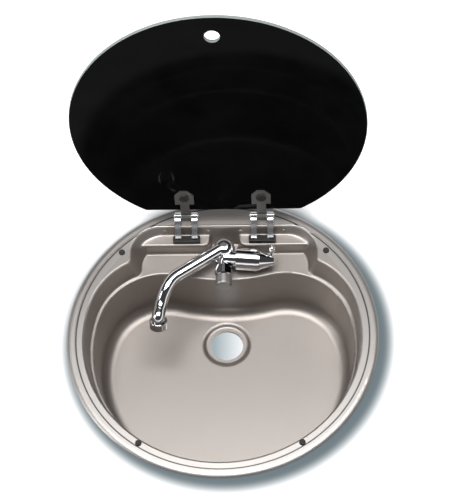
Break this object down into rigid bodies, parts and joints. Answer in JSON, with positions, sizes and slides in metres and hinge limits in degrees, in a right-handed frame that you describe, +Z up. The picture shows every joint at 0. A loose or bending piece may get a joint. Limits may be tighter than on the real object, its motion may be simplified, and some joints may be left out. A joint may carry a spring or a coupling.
{
  "type": "caravan sink",
  "caption": "Round drop-in steel sink with a hinged black glass lid, a stepped rear ledge and a low swivel tap with a side lever.",
  "frame": {"origin": "centre of the rim on the worktop plane that the rim sits on", "axes": "+X to the user's right, +Y to the hinge side at the back, +Z up"},
  "size_m": [0.4199, 0.4507, 0.5094],
  "materials": {
    "satin_steel": "satin",
    "chrome": "polished",
    "black_glass": "gloss",
    "black_rubber": "matte",
    "black_plastic": "satin",
    "zinc_plate": "satin",
    "zinc_steel": "satin",
    "nylon": "matte",
    "brass": "satin",
    "satin_nickel": "satin"
  },
  "bodies": {
    "sink": {"basin": "satin_steel", "rim_seal": "black_rubber", "wall_rivets": "satin_steel", "hinge_foot_screws": "zinc_steel", "hinge_washers": "nylon", "tap_body": "chrome", "tap_seal": "black_rubber", "tap_washer": "zinc_steel", "tap_backnut": "brass", "tap_tail_cold": "nylon", "tap_tail_hot": "nylon", "mixing_cartridge": "nylon", "cartridge_ring": "chrome", "gland_nut": "chrome", "hinge_bracket_left": "chrome", "hinge_cover_left": "black_plastic", "hinge_backing_plate_left": "zinc_steel", "wall_strip_left": "zinc_steel", "hinge_pin_left": "chrome", "bumper_front_left": "black_rubber", "bumper_rear_left": "black_rubber", "hinge_bracket_right": "chrome", "hinge_cover_right": "black_plastic", "hinge_backing_plate_right": "zinc_steel", "wall_strip_right": "zinc_steel", "hinge_pin_right": "chrome", "bumper_front_right": "black_rubber", "bumper_rear_right": "black_rubber"},
    "lid": {"glass_lid": "black_glass", "bolt_sleeves": "nylon", "clamp_plate_left": "zinc_plate", "clamp_bolt_left": "black_plastic", "clamp_cap_left": "chrome", "inner_gasket_left": "black_rubber", "outer_gasket_left": "black_rubber", "clamp_plate_right": "zinc_plate", "clamp_bolt_right": "black_plastic", "clamp_cap_right": "chrome", "inner_gasket_right": "black_rubber", "outer_gasket_right": "black_rubber"},
    "spout_arm": {"spout": "chrome", "spout_oring": "black_rubber", "aerator_collar": "chrome", "aerator_insert": "nylon"},
    "mixer_lever": {"cartridge_spindle": "brass", "lever_cap": "chrome", "lever_pin": "chrome", "lever_ball": "chrome"},
    "flow_control": {"flow_stem": "brass", "flow_knob": "satin_nickel"}
  },
  "joints": [
    {"name": "lid_hinge", "type": "hinge", "parent": "sink", "child": "lid", "pos_m": [0, 0.182, 0.009], "axis": [1, 0, 0], "range_deg": [0, 99]},
    {"name": "spout_swivel", "type": "hinge", "parent": "sink", "child": "spout_arm", "pos_m": [-0.0005, 0.143, -0.0216], "axis": [0, 0, 1], "range_deg": [-22, 3]},
    {"name": "lever_turn", "type": "hinge", "parent": "sink", "child": "mixer_lever", "pos_m": [-0.0005, 0.13, -0.018], "axis": [0.9962, -0.0872, 0], "range_deg": [-60, 0]},
    {"name": "flow_knob_turn", "type": "hinge", "parent": "sink", "child": "flow_control", "pos_m": [-0.0005, 0.1015, -0.021], "axis": [0, -1, 0], "range_deg": [0, 270]}
  ]
}
